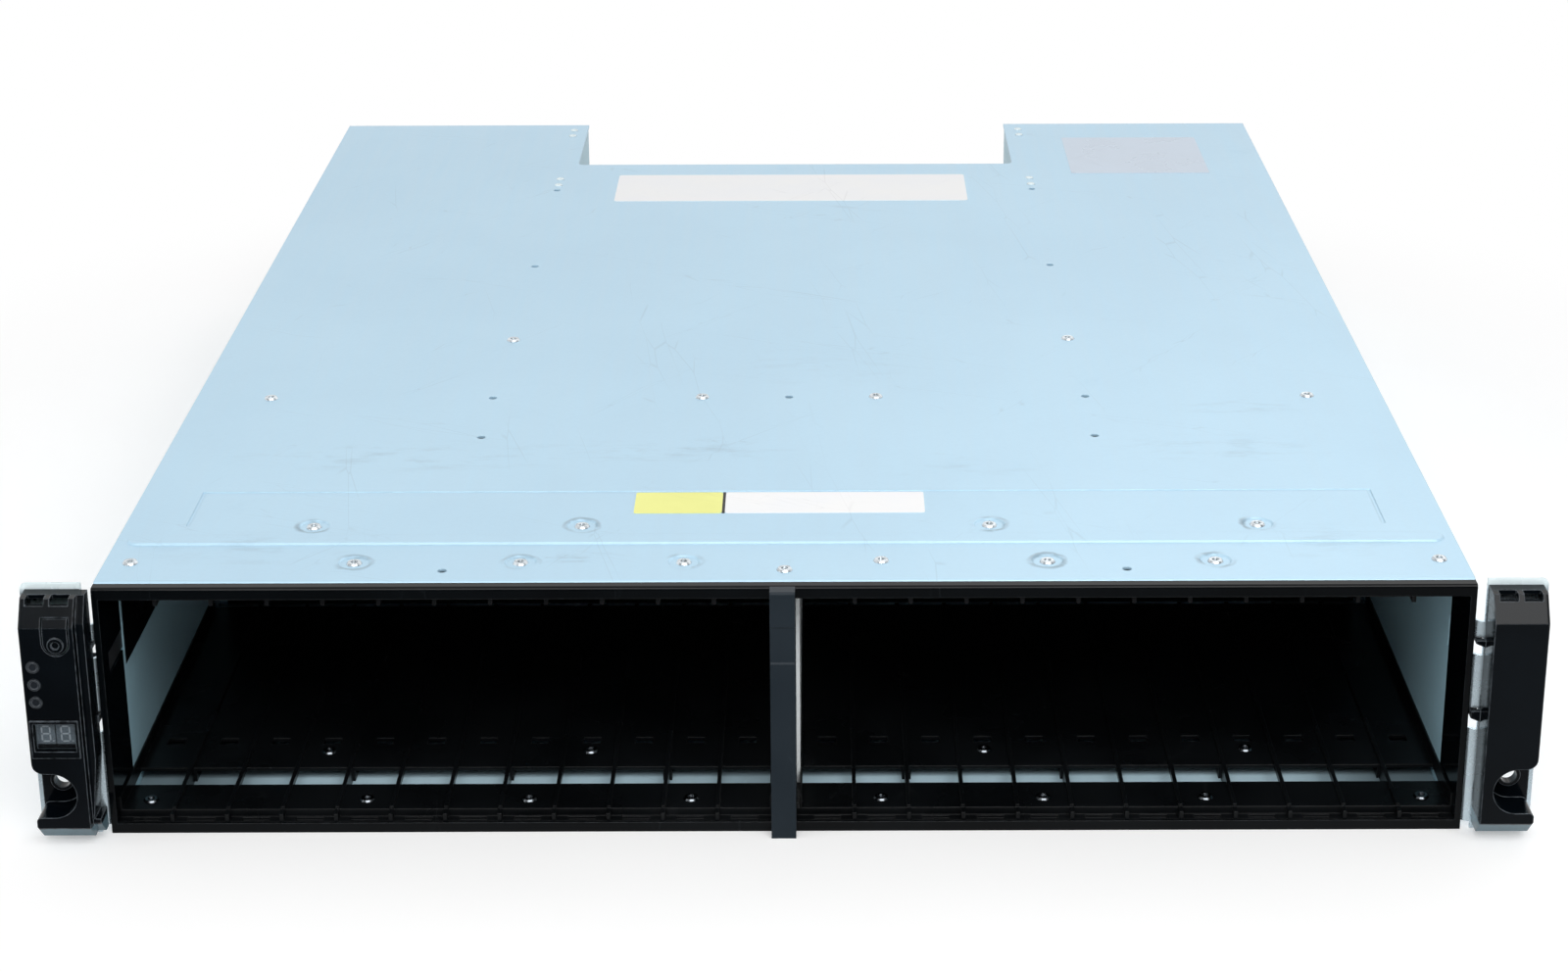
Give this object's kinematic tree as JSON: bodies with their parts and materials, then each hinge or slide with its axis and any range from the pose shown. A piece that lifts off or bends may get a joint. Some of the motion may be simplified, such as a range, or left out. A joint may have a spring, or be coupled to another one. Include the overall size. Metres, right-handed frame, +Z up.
{
  "type": "disk shelf enclosure",
  "caption": "Rack-mounted drive shelf body with open front bays in two groups, a display end cap, rear power and I/O modules that slide out, and a rear cover cut-out.",
  "frame": {"origin": "middle of the whole plan, on the plane that the shelf stands on", "axes": "+X to the right seen from the front, +Y from the drive bays to the rear, +Z up"},
  "size_m": [0.4826, 0.5726, 0.0886],
  "materials": {
    "galvanised_steel": "bright galvanised sheet with a faint blue cast",
    "cage_steel": "dull grey galvanised sheet",
    "black_plastic": "fine-grained black moulding",
    "gloss_black": "glossy black moulding",
    "dark_trim": "satin dark blue-grey moulding",
    "bright_screw": "bright zinc-plated steel",
    "circuit_board": "green solder mask",
    "connector_plastic": "black connector moulding",
    "cable": "grey flat cable",
    "display_face": "dark grey display block",
    "clear_window": "clear plastic window",
    "light_guide": "smoked light guide",
    "module_steel": "plain zinc-plated sheet",
    "handle_plastic": "dark grey grip",
    "lever_plastic": "blue-grey lever moulding",
    "fan_plastic": "black fan moulding"
  },
  "bodies": {
    "chassis": {"bottom_panel": "galvanised_steel", "side_wall_right": "galvanised_steel", "side_wall_left": "galvanised_steel", "top_cover": "galvanised_steel", "cover_screws": "bright_screw", "cover_rivets": "galvanised_steel", "front_frame": "gloss_black", "drive_guide_bottom": "black_plastic", "guide_screws": "bright_screw", "drive_guide_top": "black_plastic", "cage_side_right": "cage_steel", "cage_side_left": "cage_steel", "display_cable_cover": "black_plastic", "display_ribbon": "cable", "centre_divider": "cage_steel", "centre_bar": "dark_trim", "midplane_board": "circuit_board", "midplane_bracket": "cage_steel", "drive_connectors": "connector_plastic", "module_connectors": "connector_plastic", "psu_bay_wall_right": "cage_steel", "psu_bay_wall_left": "cage_steel", "canister_shelf": "cage_steel", "end_cap_right": "gloss_black", "end_cap_left": "gloss_black", "status_lights": "light_guide", "display_board": "circuit_board", "display_module": "display_face", "display_window": "clear_window"},
    "id_button": {"id_button": "gloss_black"},
    "power_module_right": {"psu_right_casing": "module_steel", "psu_right_fan_frame": "fan_plastic", "psu_right_inlet": "connector_plastic", "psu_right_switch_frame": "connector_plastic", "psu_right_board": "circuit_board"},
    "psu_right_handle": {"psu_right_handle": "handle_plastic"},
    "psu_right_latch": {"psu_right_latch": "lever_plastic"},
    "psu_right_fan_rotor": {"psu_right_fan_rotor": "fan_plastic"},
    "psu_right_rocker": {"psu_right_rocker": "black_plastic"},
    "power_module_left": {"psu_left_casing": "module_steel", "psu_left_fan_frame": "fan_plastic", "psu_left_inlet": "connector_plastic", "psu_left_switch_frame": "connector_plastic", "psu_left_board": "circuit_board"},
    "psu_left_handle": {"psu_left_handle": "handle_plastic"},
    "psu_left_latch": {"psu_left_latch": "lever_plastic"},
    "psu_left_fan_rotor": {"psu_left_fan_rotor": "fan_plastic"},
    "psu_left_rocker": {"psu_left_rocker": "black_plastic"},
    "io_module_lower": {"io_lower_casing": "module_steel", "io_lower_board": "circuit_board", "io_lower_ports": "bright_screw"},
    "io_lower_lever_right": {"io_lower_lever_right": "lever_plastic"},
    "io_lower_lever_left": {"io_lower_lever_left": "lever_plastic"},
    "io_module_upper": {"io_upper_casing": "module_steel", "io_upper_board": "circuit_board", "io_upper_ports": "bright_screw"},
    "io_upper_lever_right": {"io_upper_lever_right": "lever_plastic"},
    "io_upper_lever_left": {"io_upper_lever_left": "lever_plastic"}
  },
  "joints": [
    {"name": "id_button_press", "type": "hinge", "parent": "chassis", "child": "id_button", "pos_m": [-0.2282, -0.2838, 0.0812], "axis": [1, 0, 0], "range_deg": [0, 4], "stiffness_Nm_per_rad": 0.2},
    {"name": "power_module_right_slide", "type": "slide", "parent": "chassis", "child": "power_module_right", "axis": [0, 1, 0], "range_m": [0, 0.36]},
    {"name": "psu_right_handle_swing", "type": "hinge", "parent": "power_module_right", "child": "psu_right_handle", "pos_m": [0.1455, 0.2827, 0.0765], "axis": [1, 0, 0], "range_deg": [0, 90]},
    {"name": "psu_right_latch_press", "type": "slide", "parent": "power_module_right", "child": "psu_right_latch", "axis": [-1, 0, 0], "range_m": [0, 0.003], "stiffness_N_per_m": 600},
    {"name": "psu_right_fan_spin", "type": "hinge", "parent": "power_module_right", "child": "psu_right_fan_rotor", "pos_m": [0.1455, 0.2588, 0.0435], "axis": [0, 1, 0], "continuous": true},
    {"name": "psu_right_rocker_tilt", "type": "hinge", "parent": "power_module_right", "child": "psu_right_rocker", "pos_m": [0.1995, 0.2768, 0.0485], "axis": [1, 0, 0], "range_deg": [0, 12]},
    {"name": "power_module_left_slide", "type": "slide", "parent": "chassis", "child": "power_module_left", "axis": [0, 1, 0], "range_m": [0, 0.36]},
    {"name": "psu_left_handle_swing", "type": "hinge", "parent": "power_module_left", "child": "psu_left_handle", "pos_m": [-0.1455, 0.2827, 0.0765], "axis": [1, 0, 0], "range_deg": [0, 90]},
    {"name": "psu_left_latch_press", "type": "slide", "parent": "power_module_left", "child": "psu_left_latch", "axis": [1, 0, 0], "range_m": [0, 0.003], "stiffness_N_per_m": 600},
    {"name": "psu_left_fan_spin", "type": "hinge", "parent": "power_module_left", "child": "psu_left_fan_rotor", "pos_m": [-0.1455, 0.2588, 0.0435], "axis": [0, 1, 0], "continuous": true},
    {"name": "psu_left_rocker_tilt", "type": "hinge", "parent": "power_module_left", "child": "psu_left_rocker", "pos_m": [-0.1995, 0.2768, 0.0485], "axis": [1, 0, 0], "range_deg": [0, 12]},
    {"name": "io_module_lower_slide", "type": "slide", "parent": "chassis", "child": "io_module_lower", "axis": [0, 1, 0], "range_m": [0, 0.3]},
    {"name": "io_lower_lever_right_swing", "type": "hinge", "parent": "io_module_lower", "child": "io_lower_lever_right", "pos_m": [0.0915, 0.2166, 0.009], "axis": [0, 0, -1], "range_deg": [0, 75]},
    {"name": "io_lower_lever_left_swing", "type": "hinge", "parent": "io_module_lower", "child": "io_lower_lever_left", "pos_m": [-0.0915, 0.2166, 0.009], "axis": [0, 0, 1], "range_deg": [0, 75]},
    {"name": "io_module_upper_slide", "type": "slide", "parent": "chassis", "child": "io_module_upper", "axis": [0, 1, 0], "range_m": [0, 0.3]},
    {"name": "io_upper_lever_right_swing", "type": "hinge", "parent": "io_module_upper", "child": "io_upper_lever_right", "pos_m": [0.0915, 0.2166, 0.0517], "axis": [0, 0, -1], "range_deg": [0, 75]},
    {"name": "io_upper_lever_left_swing", "type": "hinge", "parent": "io_module_upper", "child": "io_upper_lever_left", "pos_m": [-0.0915, 0.2166, 0.0517], "axis": [0, 0, 1], "range_deg": [0, 75]}
  ]
}
